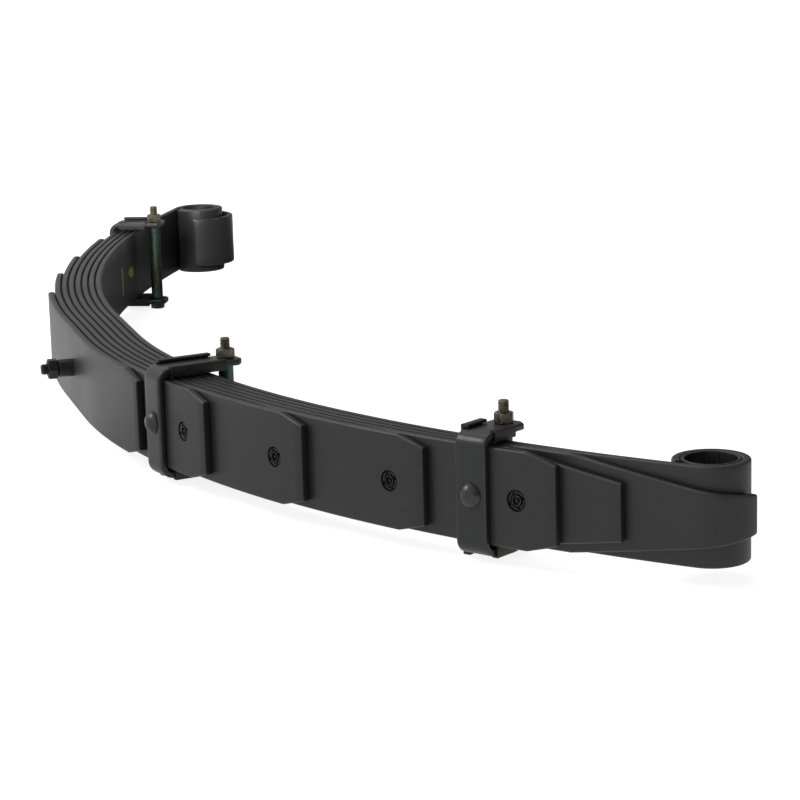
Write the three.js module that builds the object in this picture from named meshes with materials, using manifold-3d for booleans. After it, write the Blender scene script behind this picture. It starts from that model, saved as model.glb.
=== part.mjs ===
// Semi-elliptic leaf spring lying on its side: eight arched leaves with rolled eyes,
// a centre bolt, three bolted rebound clamps with liners, and anti-friction tip buttons.
// Millimetres. +Z is the leaf width, +X points to the rear eye, -Y is the convex (axle) side.

import * as THREE from 'three';
import { mergeVertices } from 'three/addons/utils/BufferGeometryUtils.js';
import Module from 'manifold-3d';

const wasm = await Module();
wasm.setup();

// ---------------------------------------------------------------- driving dimensions

const leafWidth = 70;
const leafThickness = 6;
const leafGap = 0.35;
const leafEdgeChamfer = 1.5;
const leafCount = 8;
const seatHalfLength = 50;

// Arc lengths are measured along the main leaf from the centre bolt.
// The radius of the main leaf opens out evenly from the seat to the eye.
const rearArm = { direction: 1, length: 728, seatRadius: 722, endRadius: 1190 };
const frontArm = { direction: -1, length: 711, seatRadius: 972, endRadius: 1880 };

// Stations of the leaf tips, leaf 1 first, and the clipped corners of leaves 1 to 5.
const rearTips = [205, 303, 415, 528, 634, 680];
const frontTips = [203, 304, 402, 510, 612, 656];
const tipClipLength = 24;
const tipClipDepth = 6.5;
const taperedLeaf = 6;
const taperedLeafTaperLength = 90;
const taperedLeafTipWidth = 41;

const eyeOuterRadius = 26.75;
const eyeRollAngle = 315;
const rearWrap = { angle: 88, spread: 1, taperStart: 637, endWidth: 26, taperLength: 142 };
const frontWrap = { angle: 262, spread: 5, taperStart: 600, endWidth: 53, taperLength: 80 };

const sleeveWall = 2.4;
const sleeveClearance = 0.3;
const sleeveSeam = 1.2;

const buttonRadius = 7.5;
const buttonRecess = 0.6;
const buttonInset = 31.5;
const buttonLeaves = [2, 3, 4, 5];

const centreBoltRadius = 5;
const centreBoltHeadAcross = 16;
const centreBoltHeadHeight = 6.4;
const centreNutAcross = 16;
const centreNutHeight = 8.4;
const centreBoltProjection = 5.6;
const dowelRadius = 7.6;
const dowelLength = 13;
const dowelSeatDepth = 2;

// Each clamp is riveted to its leaf; its bolt stands off the main leaf by its own distance.
const clamps = [
  { name: 'clamp_rear_inner', arm: rearArm, station: 231, leaf: 2, standOff: 10 },
  { name: 'clamp_rear_outer', arm: rearArm, station: 568, leaf: 5, standOff: 4 },
  { name: 'clamp_front', arm: frontArm, station: 545, leaf: 5, standOff: 10 },
];
const strapWidth = 26;
const strapThickness = 5;
const strapInnerRadius = 6;
const strapEndChamfer = 4;
const strapEndMargin = 10;
const linerSheet = 2.2;
const linerLipWidth = 4;
const linerLeafClearance = 1.5;
const clampBoltRadius = 4;
const clampBoltHeadHeight = 5.3;
const clampNutAcross = 13;
const clampNutHeight = 7.5;
const clampBoltProjection = 8.5;
const tubeRadius = 6;
const rivetShankRadius = 4;
const rivetHeadRadius = 9;
const rivetHeadHeight = 6;

const fit = 0.3;
const boltHoleClearance = 0.5;

// ---------------------------------------------------------------- mesh resolution

const stationStep = 40;
const rollFacetDepth = 0.25;
const integrationStep = 4;
const roundSegments = 12;
const boreSegments = 24;
const bendSegments = 4;

// ---------------------------------------------------------------- derived dimensions

const leafPitch = leafThickness + leafGap;
const halfThickness = leafThickness / 2;
const midWidth = leafWidth / 2;
const packDepth = leafCount * leafThickness + (leafCount - 1) * leafGap;
const mainLeafY = packDepth - halfThickness;
const wrapperLeaf = leafCount - 1;
const degree = Math.PI / 180;

// The angle between cross-sections that keeps the eye bore's facets clear of the sleeve.
const rollStep = 2 * Math.acos(1 - rollFacetDepth / (eyeOuterRadius - leafThickness)) / degree;

const leafOffset = (leaf) => (leafCount - leaf) * leafPitch;

// ---------------------------------------------------------------- materials

const paintedSteel = new THREE.MeshStandardMaterial({ color: 0x3a3b3d, roughness: 0.5, metalness: 0.35 });
const strapSteel = new THREE.MeshStandardMaterial({ color: 0x3e3f42, roughness: 0.45, metalness: 0.4 });
const rivetSteel = new THREE.MeshStandardMaterial({ color: 0x4a4d54, roughness: 0.35, metalness: 0.7 });
const linerPlastic = new THREE.MeshStandardMaterial({ color: 0x2c2826, roughness: 0.6, metalness: 0.1 });
const buttonPlastic = new THREE.MeshStandardMaterial({ color: 0x141414, roughness: 0.25, metalness: 0 });
const bareSteel = new THREE.MeshStandardMaterial({ color: 0x2b2b2c, roughness: 0.4, metalness: 0.8 });
const zincFastener = new THREE.MeshStandardMaterial({ color: 0x4f4636, roughness: 0.4, metalness: 0.8 });
const zincTube = new THREE.MeshStandardMaterial({ color: 0x4c5a4c, roughness: 0.3, metalness: 0.9 });

// ---------------------------------------------------------------- solid helpers

function toSolid(geometry) {
  const bare = geometry.index ? geometry.toNonIndexed() : geometry.clone();
  bare.deleteAttribute('normal');
  bare.deleteAttribute('uv');
  const merged = mergeVertices(bare, 1e-4);
  return new wasm.Manifold(new wasm.Mesh({
    numProp: 3,
    vertProperties: new Float32Array(merged.attributes.position.array),
    triVerts: new Uint32Array(merged.index.array),
  }));
}

function toGeometry(body) {
  const mesh = body.getMesh();
  const geometry = new THREE.BufferGeometry();
  geometry.setAttribute('position', new THREE.BufferAttribute(new Float32Array(mesh.vertProperties), 3));
  geometry.setIndex(new THREE.BufferAttribute(new Uint32Array(mesh.triVerts), 1));
  geometry.computeVertexNormals();
  return geometry;
}

function cut(geometry, cutters) {
  const body = cutters.reduce((rest, cutter) => rest.subtract(toSolid(cutter)), toSolid(geometry));
  return toGeometry(body);
}

// A round or hexagonal bar along +Z from z = low to z = high.
function bar(radius, low, high, segments = roundSegments) {
  const geometry = new THREE.CylinderGeometry(radius, radius, high - low, segments);
  geometry.rotateX(Math.PI / 2);
  geometry.translate(0, 0, (low + high) / 2);
  return geometry;
}

const hexBar = (across, low, high) => bar(across / Math.sqrt(3), low, high, 6);

// A bolt along +Z; its shank starts inside the head, so that the two join into one body.
function hexHeadBolt(radius, across, headLow, headHigh, tip) {
  const shank = toSolid(bar(radius, (headLow + headHigh) / 2, tip));
  return toGeometry(toSolid(hexBar(across, headLow, headHigh)).add(shank));
}

// A profile of [radius, z] points turned about Z.
function turned(profile) {
  const points = profile.map(([radius, z]) => new THREE.Vector2(radius, z));
  const geometry = new THREE.LatheGeometry(points, roundSegments);
  geometry.rotateX(Math.PI / 2);
  return geometry;
}

// ---------------------------------------------------------------- the arch of the pack

// Heading of the main leaf at a station, in radians from the seat plane.
function heading(arm, station) {
  const run = Math.max(0, Math.min(station, arm.length) - seatHalfLength);
  const curvature = 1 / arm.seatRadius;
  const fade = (1 / arm.endRadius - curvature) / (arm.length - seatHalfLength);
  return curvature * run + fade * run * run / 2;
}

// Centreline of the main leaf at a station, as its point and its convex normal.
function frameAt(arm, station) {
  let x = Math.min(station, seatHalfLength);
  let y = mainLeafY;
  const run = station - x;
  const steps = Math.ceil(run / integrationStep);
  for (let i = 0; i < steps; i++) {
    const along = heading(arm, seatHalfLength + (i + 0.5) * run / steps);
    x += Math.cos(along) * run / steps;
    y += Math.sin(along) * run / steps;
  }
  const angle = heading(arm, station);
  return {
    point: new THREE.Vector2(arm.direction * x, y),
    normal: new THREE.Vector2(arm.direction * Math.sin(angle), -Math.cos(angle)),
  };
}

// A point on the arch: station along the arm, offset towards the convex side.
function pointAt(arm, station, offset) {
  const { point, normal } = frameAt(arm, station);
  return point.clone().addScaledVector(normal, offset);
}

function eyeCentre(arm) {
  return pointAt(arm, arm.length, halfThickness - eyeOuterRadius);
}

// Turns a group so that its +X is the convex normal at the station.
function stationMatrix(arm, station) {
  const { point, normal } = frameAt(arm, station);
  const matrix = new THREE.Matrix4().makeRotationZ(Math.atan2(normal.y, normal.x));
  return matrix.setPosition(point.x, point.y, 0);
}

// ---------------------------------------------------------------- leaves

// Stations shared by all leaves, so that neighbouring faces stay parallel.
function stationsTo(tip, extras) {
  const marks = [seatHalfLength];
  for (let s = seatHalfLength + stationStep; s < tip - stationStep / 3; s += stationStep) {
    marks.push(s);
  }
  extras.filter((s) => s > seatHalfLength && s < tip).forEach((s) => marks.push(s));
  marks.push(tip);
  return [...new Set(marks)].sort((a, b) => a - b);
}

// One half of a leaf as cross-sections { point, normal, halfWidth } from the seat outwards.
function armSections(arm, leaf, tip, widthAt, extras) {
  return stationsTo(tip, extras).map((station) => ({
    point: pointAt(arm, station, leafOffset(leaf)),
    normal: frameAt(arm, station).normal,
    halfWidth: widthAt(station) / 2,
  }));
}

// Cross-sections that roll round the eye centre, starting after the tangent point.
function rollSections(arm, angle, radiusAt, widthAt) {
  const centre = eyeCentre(arm);
  const start = frameAt(arm, arm.length).normal;
  const steps = Math.ceil(angle / rollStep);
  const sections = [];
  for (let i = 1; i <= steps; i++) {
    const turn = angle * i / steps;
    const normal = start.clone().rotateAround(new THREE.Vector2(), arm.direction * turn * degree);
    sections.push({
      point: centre.clone().addScaledVector(normal, radiusAt(turn)),
      normal,
      halfWidth: widthAt(turn) / 2,
    });
  }
  return sections;
}

// The bar's rectangular section with chamfered edges, as [offset, height] pairs.
function sectionOutline(halfWidth) {
  const depth = halfThickness;
  const inner = depth - leafEdgeChamfer;
  const low = midWidth - halfWidth;
  const high = midWidth + halfWidth;
  return [
    [inner, low], [depth, low + leafEdgeChamfer], [depth, high - leafEdgeChamfer], [inner, high],
    [-inner, high], [-depth, high - leafEdgeChamfer], [-depth, low + leafEdgeChamfer], [-inner, low],
  ];
}

function loftLeaf(sections) {
  const positions = [];
  for (const { point, normal, halfWidth } of sections) {
    for (const [offset, height] of sectionOutline(halfWidth)) {
      positions.push(point.x + normal.x * offset, point.y + normal.y * offset, height);
    }
  }
  const ring = sectionOutline(midWidth).length;
  const indices = [];
  for (let i = 0; i < sections.length - 1; i++) {
    for (let j = 0; j < ring; j++) {
      const a = i * ring + j;
      const b = i * ring + (j + 1) % ring;
      indices.push(a, a + ring, b, b, a + ring, b + ring);
    }
  }
  const last = (sections.length - 1) * ring;
  for (let j = 1; j < ring - 1; j++) {
    indices.push(0, j, j + 1);
    indices.push(last, last + j + 1, last + j);
  }
  const geometry = new THREE.BufferGeometry();
  geometry.setAttribute('position', new THREE.Float32BufferAttribute(positions, 3));
  geometry.setIndex(indices);
  return geometry;
}

// Full width up to the taper, then straight down to the tip width.
function taper(start, length, endWidth) {
  return (station) => {
    const share = THREE.MathUtils.clamp((station - start) / length, 0, 1);
    return THREE.MathUtils.lerp(leafWidth, endWidth, share);
  };
}

function plainArm(arm, leaf, tip) {
  const tapered = leaf === taperedLeaf;
  const length = tapered ? taperedLeafTaperLength : tipClipLength;
  const width = tapered ? taperedLeafTipWidth : leafWidth - 2 * tipClipDepth;
  return armSections(arm, leaf, tip, taper(tip - length, length, width), [tip - length]);
}

function wrapperArm(arm, wrap) {
  const widthAt = taper(wrap.taperStart, wrap.taperLength, wrap.endWidth);
  const extras = [wrap.taperStart, wrap.taperStart + wrap.taperLength];
  const closeRadius = eyeOuterRadius + halfThickness + leafGap;
  const spreadAt = (turn) => wrap.spread * THREE.MathUtils.smoothstep(turn, 0, Math.min(wrap.angle, 90));
  const radiusAt = (turn) => closeRadius + spreadAt(turn);
  const widthOnRoll = (turn) => widthAt(arm.length + turn * degree * closeRadius);
  return [
    ...armSections(arm, wrapperLeaf, arm.length, widthAt, extras),
    ...rollSections(arm, wrap.angle, radiusAt, widthOnRoll),
  ];
}

function mainArm(arm) {
  const widthAt = () => leafWidth;
  const radiusAt = () => eyeOuterRadius - halfThickness;
  return [
    ...armSections(arm, leafCount, arm.length, widthAt, []),
    ...rollSections(arm, eyeRollAngle, radiusAt, widthAt),
  ];
}

function leafArm(arm, leaf, tips, wrap) {
  if (leaf === leafCount) {
    return mainArm(arm);
  }
  if (leaf === wrapperLeaf) {
    return wrapperArm(arm, wrap);
  }
  return plainArm(arm, leaf, tips[leaf - 1]);
}

// A bar across the leaf at a station, from one offset to another.
function crossBar(arm, station, radius, fromOffset, toOffset) {
  const geometry = bar(radius, fromOffset, toOffset);
  geometry.rotateY(Math.PI / 2);
  geometry.translate(0, 0, midWidth);
  return geometry.applyMatrix4(stationMatrix(arm, station));
}

function leafHoles(leaf) {
  const near = leafOffset(leaf) - leafThickness;
  const far = leafOffset(leaf) + leafThickness;
  const holes = [crossBar(rearArm, 0, centreBoltRadius + boltHoleClearance, near, far)];
  if (leaf === 1) {
    const seat = leafOffset(leaf) + halfThickness - dowelSeatDepth;
    holes.push(crossBar(rearArm, 0, dowelRadius + boltHoleClearance, seat, far));
  }
  if (buttonLeaves.includes(leaf)) {
    holes.push(crossBar(rearArm, rearTips[leaf - 1] - buttonInset, buttonRadius + fit, near, far));
    holes.push(crossBar(frontArm, frontTips[leaf - 1] - buttonInset, buttonRadius + fit, near, far));
  }
  for (const clamp of clamps.filter((entry) => entry.leaf === leaf)) {
    holes.push(crossBar(clamp.arm, clamp.station, rivetShankRadius + fit, near, far));
  }
  return holes;
}

function leafName(leaf) {
  if (leaf === leafCount) {
    return `leaf_${leaf}_main`;
  }
  return leaf === wrapperLeaf ? `leaf_${leaf}_wrapper` : `leaf_${leaf}`;
}

function makeLeaf(leaf) {
  const front = leafArm(frontArm, leaf, frontTips, frontWrap).reverse();
  const rear = leafArm(rearArm, leaf, rearTips, rearWrap);
  const geometry = cut(loftLeaf([...front, ...rear]), leafHoles(leaf));
  return named(leafName(leaf), geometry, paintedSteel);
}

// ---------------------------------------------------------------- eye sleeves

function makeSleeve(name, arm) {
  const outer = eyeOuterRadius - leafThickness - sleeveClearance;
  const inner = outer - sleeveWall;
  const seamHalfAngle = Math.asin(sleeveSeam / 2 / outer);
  const ring = new THREE.Shape();
  ring.absarc(0, 0, outer, seamHalfAngle, 2 * Math.PI - seamHalfAngle, false);
  ring.absarc(0, 0, inner, 2 * Math.PI - seamHalfAngle, seamHalfAngle, true);
  const geometry = new THREE.ExtrudeGeometry(ring, {
    depth: leafWidth,
    bevelEnabled: false,
    curveSegments: boreSegments,
  });
  const sleeve = named(name, toGeometry(toSolid(geometry)), bareSteel);
  const centre = eyeCentre(arm);
  sleeve.position.set(centre.x, centre.y, 0);
  return sleeve;
}

// ---------------------------------------------------------------- tip buttons

function makeButton(name, arm, station, leaf) {
  const geometry = bar(buttonRadius, -halfThickness, halfThickness - buttonRecess);
  geometry.rotateY(Math.PI / 2);
  geometry.translate(leafOffset(leaf), 0, midWidth);
  const button = named(name, toGeometry(toSolid(geometry)), buttonPlastic);
  button.applyMatrix4(stationMatrix(arm, station));
  return button;
}

function makeButtons() {
  return buttonLeaves.flatMap((leaf) => [
    makeButton(`tip_button_${leaf}_rear`, rearArm, rearTips[leaf - 1] - buttonInset, leaf),
    makeButton(`tip_button_${leaf}_front`, frontArm, frontTips[leaf - 1] - buttonInset, leaf),
  ]);
}

// ---------------------------------------------------------------- centre bolt

// Local +Z runs from the main leaf towards the convex side; z = 0 is leaf 1's convex face.
function makeCentreBolt() {
  const nutLow = dowelLength + 2 * fit;
  const nutHigh = nutLow + centreNutHeight;
  const headHigh = -packDepth - fit;
  const headLow = headHigh - centreBoltHeadHeight;
  const tip = nutHigh + centreBoltProjection;
  const bolt = hexHeadBolt(centreBoltRadius, centreBoltHeadAcross, headLow, headHigh, tip);
  const bore = bar(centreBoltRadius + fit, 0, nutHigh + fit);
  const nut = cut(hexBar(centreNutAcross, nutLow, nutHigh), [bore]);
  const dowelFoot = fit - dowelSeatDepth;
  const dowelBore = bar(centreBoltRadius + fit, -leafThickness, nutLow);
  const dowel = cut(bar(dowelRadius, dowelFoot, fit + dowelLength), [dowelBore]);
  const group = new THREE.Group();
  group.add(named('centre_bolt', bolt, zincFastener));
  group.add(named('centre_nut', nut, zincFastener));
  group.add(named('centre_dowel', dowel, bareSteel));
  group.rotation.x = Math.PI / 2;
  group.position.z = midWidth;
  return group;
}

// ---------------------------------------------------------------- rebound clamps

// Clamp frame: +X is the convex normal at its station, x = 0 the main leaf's centreline.
const legInner = leafWidth + linerLeafClearance + linerSheet + fit;
const legOuter = legInner + strapThickness;
const strapFaceX = (leaf) => leafOffset(leaf) + halfThickness + fit;
const clampBoltX = (standOff) => -(halfThickness + standOff + tubeRadius);

// Mirrors a height about the middle of the leaf width.
const mirrored = (height) => leafWidth - height;

function strapOutline(leaf, endX) {
  const inside = strapFaceX(leaf);
  const outside = inside + strapThickness;
  const outerRadius = strapInnerRadius + strapThickness;
  const bendX = inside - strapInnerRadius;
  const bendHigh = legInner - strapInnerRadius;
  const bendLow = mirrored(bendHigh);
  const shape = new THREE.Shape();
  shape.moveTo(endX, legInner);
  shape.absarc(bendX, bendHigh, strapInnerRadius, Math.PI / 2, 0, true);
  shape.absarc(bendX, bendLow, strapInnerRadius, 0, -Math.PI / 2, true);
  shape.lineTo(endX, mirrored(legInner));
  shape.lineTo(endX, mirrored(legOuter));
  shape.absarc(bendX, bendLow, outerRadius, -Math.PI / 2, 0, false);
  shape.lineTo(outside, bendHigh);
  shape.absarc(bendX, bendHigh, outerRadius, 0, Math.PI / 2, false);
  shape.lineTo(endX, legOuter);
  return shape;
}

// The plan of the strap, with its clipped ends, as a tall prism that trims the bent bar.
function strapPlan(leaf, endX) {
  const half = strapWidth / 2;
  const front = strapFaceX(leaf) + 2 * strapThickness;
  const plan = new THREE.Shape();
  plan.moveTo(endX, strapEndChamfer - half);
  plan.lineTo(endX + strapEndChamfer, -half);
  plan.lineTo(front, -half);
  plan.lineTo(front, half);
  plan.lineTo(endX + strapEndChamfer, half);
  plan.lineTo(endX, half - strapEndChamfer);
  const geometry = new THREE.ExtrudeGeometry(plan, { depth: 3 * leafWidth, bevelEnabled: false });
  geometry.translate(0, 0, -leafWidth);
  return geometry;
}

function makeStrap(leaf, boltX) {
  const endX = boltX - strapEndMargin;
  const geometry = new THREE.ExtrudeGeometry(strapOutline(leaf, endX), {
    depth: 2 * strapWidth,
    bevelEnabled: false,
    curveSegments: bendSegments,
  });
  geometry.translate(0, 0, -strapWidth);
  geometry.rotateX(Math.PI / 2);
  const trimmed = toSolid(geometry).intersect(toSolid(strapPlan(leaf, endX)));
  const boltHole = bar(clampBoltRadius + boltHoleClearance, -leafWidth, 2 * leafWidth);
  boltHole.translate(boltX, 0, 0);
  const rivetHole = bar(rivetShankRadius + fit, 0, 2 * strapThickness);
  rivetHole.rotateY(Math.PI / 2);
  rivetHole.translate(strapFaceX(leaf) - fit, 0, midWidth);
  return toGeometry(trimmed.subtract(toSolid(boltHole)).subtract(toSolid(rivetHole)));
}

// C-channel clipped on a leg, up to the tube: its web lies by the leaf edges, and its walls
// and folded lips go round the strap.
function makeLiner(leaf, boltX, lower) {
  const inside = strapWidth / 2 + fit;
  const outside = inside + linerSheet;
  const webLow = leafWidth + linerLeafClearance;
  const lipLow = legOuter + fit;
  const lipHigh = lipLow + linerSheet;
  const channel = new THREE.Shape();
  channel.moveTo(-outside, webLow);
  channel.lineTo(outside, webLow);
  channel.lineTo(outside, lipHigh);
  channel.lineTo(inside - linerLipWidth, lipHigh);
  channel.lineTo(inside - linerLipWidth, lipLow);
  channel.lineTo(inside, lipLow);
  channel.lineTo(inside, webLow + linerSheet);
  channel.lineTo(-inside, webLow + linerSheet);
  channel.lineTo(-inside, lipLow);
  channel.lineTo(linerLipWidth - inside, lipLow);
  channel.lineTo(linerLipWidth - inside, lipHigh);
  channel.lineTo(-outside, lipHigh);
  const startX = strapFaceX(leaf) - strapInnerRadius - fit;
  const endX = boltX + tubeRadius + fit;
  const geometry = new THREE.ExtrudeGeometry(channel, { depth: startX - endX, bevelEnabled: false });
  geometry.rotateX(Math.PI / 2);
  geometry.rotateZ(Math.PI / 2);
  geometry.translate(endX, 0, -midWidth);
  if (lower) {
    geometry.rotateX(Math.PI);
  }
  geometry.translate(0, 0, midWidth);
  return toGeometry(toSolid(geometry));
}

function makeRivet(leaf) {
  const shankEnd = leafOffset(leaf) - halfThickness;
  const seat = strapFaceX(leaf) + strapThickness + fit;
  const domeRadius = (rivetHeadRadius ** 2 + rivetHeadHeight ** 2) / (2 * rivetHeadHeight);
  const profile = [[0, shankEnd], [rivetShankRadius, shankEnd], [rivetShankRadius, seat]];
  const domeEdge = Math.asin(rivetHeadRadius / domeRadius);
  for (let i = 0; i <= bendSegments; i++) {
    const angle = domeEdge * (1 - i / bendSegments);
    const rise = domeRadius * Math.cos(angle) - (domeRadius - rivetHeadHeight);
    profile.push([domeRadius * Math.sin(angle), seat + rise]);
  }
  profile[profile.length - 1][0] = 0;
  const geometry = turned(profile);
  geometry.rotateY(Math.PI / 2);
  geometry.translate(0, 0, midWidth);
  return toGeometry(toSolid(geometry));
}

function makeClampBolt() {
  const headHigh = mirrored(legOuter) - fit;
  const nutHigh = legOuter + fit + clampNutHeight;
  const headLow = headHigh - clampBoltHeadHeight;
  return hexHeadBolt(clampBoltRadius, clampNutAcross, headLow, headHigh, nutHigh + clampBoltProjection);
}

function makeClampNut() {
  const low = legOuter + fit;
  const high = low + clampNutHeight;
  return cut(hexBar(clampNutAcross, low, high), [bar(clampBoltRadius + fit, low - fit, high + fit)]);
}

// Spacer that holds the legs apart, with the bolt through it.
function makeTube() {
  const high = legInner - fit;
  const low = mirrored(high);
  return cut(bar(tubeRadius, low, high), [bar(clampBoltRadius + boltHoleClearance, low - fit, high + fit)]);
}

function makeClamp({ name, arm, station, leaf, standOff }) {
  const boltX = clampBoltX(standOff);
  const group = new THREE.Group();
  group.applyMatrix4(stationMatrix(arm, station));
  group.add(named(`${name}_strap`, makeStrap(leaf, boltX), strapSteel));
  group.add(named(`${name}_rivet`, makeRivet(leaf), rivetSteel));
  group.add(named(`${name}_upper_liner`, makeLiner(leaf, boltX, false), linerPlastic));
  group.add(named(`${name}_lower_liner`, makeLiner(leaf, boltX, true), linerPlastic));
  const onBolt = new THREE.Group();
  onBolt.position.x = boltX;
  onBolt.add(named(`${name}_bolt`, makeClampBolt(), zincFastener));
  onBolt.add(named(`${name}_nut`, makeClampNut(), zincFastener));
  onBolt.add(named(`${name}_spacer_tube`, makeTube(), zincTube));
  group.add(onBolt);
  return group;
}

// ---------------------------------------------------------------- assembly

function named(name, geometry, material) {
  const mesh = new THREE.Mesh(geometry, material);
  mesh.name = name;
  return mesh;
}

const spring = new THREE.Group();
for (let leaf = 1; leaf <= leafCount; leaf++) {
  spring.add(makeLeaf(leaf));
}
spring.add(makeSleeve('eye_sleeve_rear', rearArm), makeSleeve('eye_sleeve_front', frontArm));
spring.add(makeCentreBolt());
spring.add(...makeButtons());
spring.add(...clamps.map(makeClamp));

// The origin is the middle of the footprint, on the surface that the spring lies on.
spring.updateMatrixWorld(true);
const box = new THREE.Box3().setFromObject(spring);
const middle = box.getCenter(new THREE.Vector3());
spring.position.set(-middle.x, -middle.y, -box.min.z);

export default spring;
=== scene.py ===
import math

import bmesh
import bpy
from mathutils import Matrix, Quaternion, Vector


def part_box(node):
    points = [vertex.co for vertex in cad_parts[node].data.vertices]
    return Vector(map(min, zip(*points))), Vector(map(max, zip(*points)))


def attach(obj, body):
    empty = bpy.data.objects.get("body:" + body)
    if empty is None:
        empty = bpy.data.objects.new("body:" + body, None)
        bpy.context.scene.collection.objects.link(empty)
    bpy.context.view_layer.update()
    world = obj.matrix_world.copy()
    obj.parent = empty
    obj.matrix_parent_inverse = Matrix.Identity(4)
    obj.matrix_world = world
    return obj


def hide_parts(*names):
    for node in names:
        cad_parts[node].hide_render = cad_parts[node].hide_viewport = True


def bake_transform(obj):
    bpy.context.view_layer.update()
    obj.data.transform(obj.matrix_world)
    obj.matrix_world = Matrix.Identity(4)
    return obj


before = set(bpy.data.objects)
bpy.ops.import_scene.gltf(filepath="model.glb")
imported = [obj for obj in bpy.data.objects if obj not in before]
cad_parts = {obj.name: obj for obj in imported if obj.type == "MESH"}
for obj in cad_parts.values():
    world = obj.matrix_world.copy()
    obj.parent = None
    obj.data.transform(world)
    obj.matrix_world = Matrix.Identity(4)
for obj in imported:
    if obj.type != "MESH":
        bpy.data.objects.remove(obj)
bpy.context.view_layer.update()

# ---------------------------------------------------------------- dimensions, in millimetres
# The design frame: x = 0 is the centre bolt's axis, y = 0 leaf 1's convex face and z = 0 the
# leaves' lower edges. The CAD's boxes say where that frame lies in the row frame.

LEAF_WIDTH = 70.0
LEAF_THICKNESS = 6.0
LEAF_GAP = 0.35
LEAF_EDGE_RADIUS = 1.5
LEAF_COUNT = 8
SEAT = 50.0
REAR = {"sign": 1, "length": 728.0, "seat_radius": 722.0, "end_radius": 1190.0}
FRONT = {"sign": -1, "length": 711.0, "seat_radius": 972.0, "end_radius": 1880.0}
REAR_TIPS = [205.0, 303.0, 415.0, 528.0, 634.0, 680.0]
FRONT_TIPS = [203.0, 304.0, 402.0, 510.0, 612.0, 656.0]
CLIP_LENGTH = 24.0
CLIP_DEPTH = 6.5
TAPERED_LEAF = 6
TAPER_LENGTH = 90.0
TAPER_TIP_WIDTH = 41.0
EYE_RADIUS = 26.75
EYE_ROLL = 315.0
REAR_WRAP = {"angle": 88.0, "spread": 1.0, "start": 637.0, "end_width": 26.0, "length": 142.0}
FRONT_WRAP = {"angle": 262.0, "spread": 5.0, "start": 600.0, "end_width": 53.0, "length": 80.0}
SLEEVE_WALL = 2.4
SLEEVE_SEAM = 1.2
BUTTON_RADIUS = 7.5
BUTTON_INSET = 31.5
BUTTON_LEAVES = [2, 3, 4, 5]
FIT = 0.3

CLAMPS = [
    {"name": "clamp_rear_inner", "body": "rear_inner_clamp", "arm": REAR, "station": 231.0,
     "leaf": 2, "stand_off": 10.0},
    {"name": "clamp_rear_outer", "body": "rear_outer_clamp", "arm": REAR, "station": 568.0,
     "leaf": 5, "stand_off": 4.0},
    {"name": "clamp_front", "body": "front_clamp", "arm": FRONT, "station": 545.0,
     "leaf": 5, "stand_off": 10.0},
]
STRAP_WIDTH = 26.0
STRAP_THICKNESS = 5.0
STRAP_BEND = 6.0
STRAP_CLIP = 4.0
STRAP_END_MARGIN = 10.0
LINER_SHEET = 2.2
LEG_INNER = 74.0
LEG_OUTER = LEG_INNER + STRAP_THICKNESS
TUBE_RADIUS = 6.0
CLAMP_BOLT_RADIUS = 4.0
CLAMP_ACROSS = 13.0
CLAMP_HEAD_HEIGHT = 5.3
CLAMP_NUT_HEIGHT = 7.5
CLAMP_PROJECTION = 8.5
CLAMP_PITCH = 1.25
RIVET_RADIUS = 9.0
RIVET_HEIGHT = 6.0
RIVET_RIM = 0.5
RIVET_SHANK = 4.0
RIVET_SINK = 2.0
RIVET_CREVICE = 0.02
HEAD_OVERLAP = 1.0

# The liner's near wall has a thin lip well clear of the strap, its far wall a thicker, closer one.
NEAR_LIP = {"rise": 0.75, "length": 4.8, "sheet": 1.3, "fold": 0.5}
FAR_LIP = {"rise": 0.3, "length": 5.4}
FAR_WALL_SHARE = 0.95

PITCH = LEAF_THICKNESS + LEAF_GAP
HALF = LEAF_THICKNESS / 2
MID = LEAF_WIDTH / 2
MAIN_Y = LEAF_COUNT * LEAF_THICKNESS + (LEAF_COUNT - 1) * LEAF_GAP - HALF

bolt_low, bolt_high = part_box("centre_bolt")
leaf_low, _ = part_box("leaf_1")
MILLIMETRE = 0.001
ORIGIN = Vector(((bolt_low[0] + bolt_high[0]) / 2, leaf_low[1], leaf_low[2]))
TO_ROW = Matrix.Translation(ORIGIN) @ Matrix.Scale(MILLIMETRE, 4)


def row(x, y, z):
    """A point of the design frame in the row frame."""
    return TO_ROW @ Vector((x, y, z))


# ---------------------------------------------------------------- the arch of the pack

def heading(arm, station):
    """Heading of the main leaf in radians from the seat plane."""
    run = max(0.0, min(station, arm["length"]) - SEAT)
    start = 1 / arm["seat_radius"]
    fade = (1 / arm["end_radius"] - start) / (arm["length"] - SEAT)
    return start * run + fade * run * run / 2


def frame_at(arm, station):
    """Centreline point of the main leaf and its convex normal."""
    x = min(station, SEAT)
    y = MAIN_Y
    run = station - x
    steps = math.ceil(run / 4.0)
    for i in range(steps):
        along = heading(arm, SEAT + (i + 0.5) * run / steps)
        x += math.cos(along) * run / steps
        y += math.sin(along) * run / steps
    angle = heading(arm, station)
    normal = Vector((arm["sign"] * math.sin(angle), -math.cos(angle), 0.0))
    return Vector((arm["sign"] * x, y, 0.0)), normal


def leaf_offset(leaf):
    return (LEAF_COUNT - leaf) * PITCH


def eye_centre(arm):
    point, normal = frame_at(arm, arm["length"])
    return point + normal * (HALF - EYE_RADIUS)


def station_matrix(arm, station):
    """Local +X is the convex normal, +Y runs along the arm towards the rear, +Z up."""
    point, normal = frame_at(arm, station)
    side = Vector((-normal.y, normal.x, 0.0))
    axes = Matrix((normal, side, Vector((0.0, 0.0, 1.0)))).transposed().to_4x4()
    return TO_ROW @ Matrix.Translation(point) @ axes


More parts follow.
